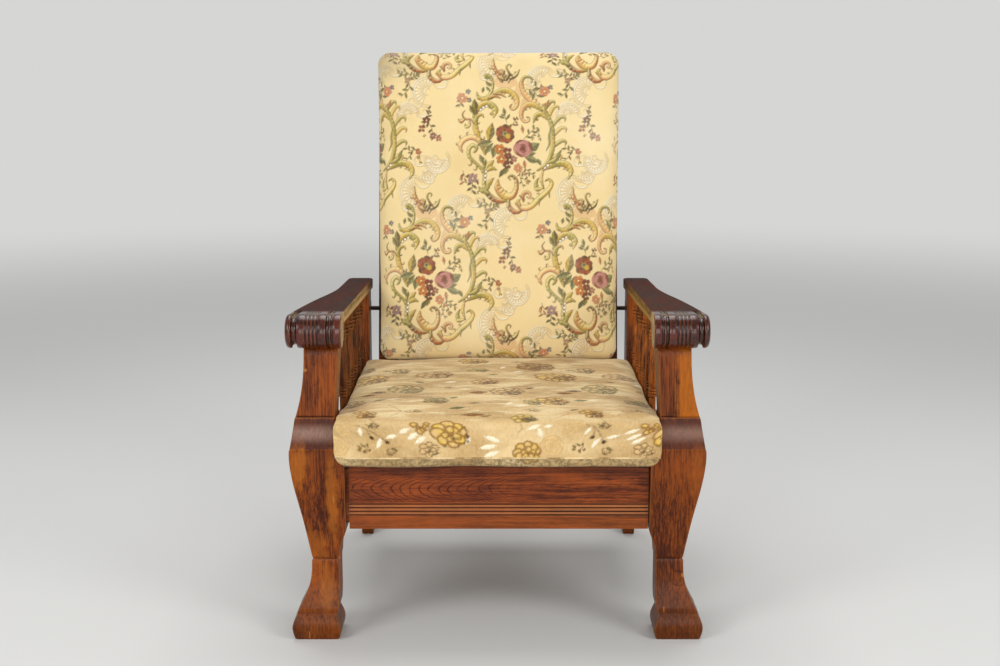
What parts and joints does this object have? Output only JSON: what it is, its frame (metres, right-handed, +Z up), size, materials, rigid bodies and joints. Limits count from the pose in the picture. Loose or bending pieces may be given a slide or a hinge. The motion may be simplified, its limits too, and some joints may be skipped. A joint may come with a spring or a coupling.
{
  "type": "reclining armchair",
  "caption": "Old oak reclining armchair with scrolled arms and legs, spindle sides, a sagging velour seat cushion and a loose tapestry back cushion.",
  "frame": {"origin": "middle of the chair's footprint on the floor, taken from its bounding box", "axes": "+Z up; the front of the chair faces -Y; +X is the viewer's right when facing the chair, and left and right in node names are the viewer's"},
  "size_m": [0.7846, 0.8444, 1.097],
  "materials": {
    "dark_oak_arms": "satin",
    "stained_oak_legs": "satin",
    "stained_oak_rails": "satin",
    "turned_oak_spindles": "satin",
    "plain_oak_inside": "matte",
    "black_iron": "satin",
    "worn_velour": "matte",
    "floral_tapestry": "matte"
  },
  "bodies": {
    "frame": {"arm_left": "dark_oak_arms", "arm_right": "dark_oak_arms", "corner_block_front_left": "plain_oak_inside", "corner_block_front_right": "plain_oak_inside", "corner_block_rear_left": "plain_oak_inside", "corner_block_rear_right": "plain_oak_inside", "front_leg_left": "stained_oak_legs", "front_leg_right": "stained_oak_legs", "front_rail": "stained_oak_rails", "pivot_pin_left": "black_iron", "pivot_pin_right": "black_iron", "pivot_spacer_left": "black_iron", "pivot_spacer_right": "black_iron", "rack_left": "black_iron", "rack_right": "black_iron", "rack_screw_left_1": "black_iron", "rack_screw_left_2": "black_iron", "rack_screw_right_1": "black_iron", "rack_screw_right_2": "black_iron", "rear_leg_left": "stained_oak_legs", "rear_leg_right": "stained_oak_legs", "rear_rail": "plain_oak_inside", "seat_cleat_left": "plain_oak_inside", "seat_cleat_right": "plain_oak_inside", "seat_cushion": "worn_velour", "seat_slat_1": "plain_oak_inside", "seat_slat_2": "plain_oak_inside", "seat_slat_3": "plain_oak_inside", "seat_slat_4": "plain_oak_inside", "seat_slat_5": "plain_oak_inside", "side_rail_left": "stained_oak_rails", "side_rail_right": "stained_oak_rails", "spindle_left_1": "turned_oak_spindles", "spindle_left_2": "turned_oak_spindles", "spindle_left_3": "turned_oak_spindles", "spindle_left_4": "turned_oak_spindles", "spindle_left_5": "turned_oak_spindles", "spindle_left_6": "turned_oak_spindles", "spindle_right_1": "turned_oak_spindles", "spindle_right_2": "turned_oak_spindles", "spindle_right_3": "turned_oak_spindles", "spindle_right_4": "turned_oak_spindles", "spindle_right_5": "turned_oak_spindles", "spindle_right_6": "turned_oak_spindles"},
    "back": {"back_bottom_rail": "stained_oak_rails", "back_cushion": "floral_tapestry", "back_slat_1": "stained_oak_rails", "back_slat_2": "stained_oak_rails", "back_slat_3": "stained_oak_rails", "back_slat_4": "stained_oak_rails", "back_stile_left": "stained_oak_rails", "back_stile_right": "stained_oak_rails", "back_top_rail": "stained_oak_rails"},
    "rod": {"support_rod": "black_iron"}
  },
  "joints": [
    {"name": "back_recline", "type": "hinge", "parent": "frame", "child": "back", "pos_m": [0, 0.25675, 0.333], "axis": [-1, 0, 0], "range_deg": [0, 23.55]},
    {"name": "rod_swing", "type": "hinge", "parent": "frame", "child": "rod", "pos_m": [0, 0.35872, 0.40799], "axis": [-1, 0, 0], "range_deg": [0, 45.69]}
  ],
  "couplings": [
    {"joint": "rod_swing", "follows": "back_recline", "ratio": 1.9396}
  ]
}
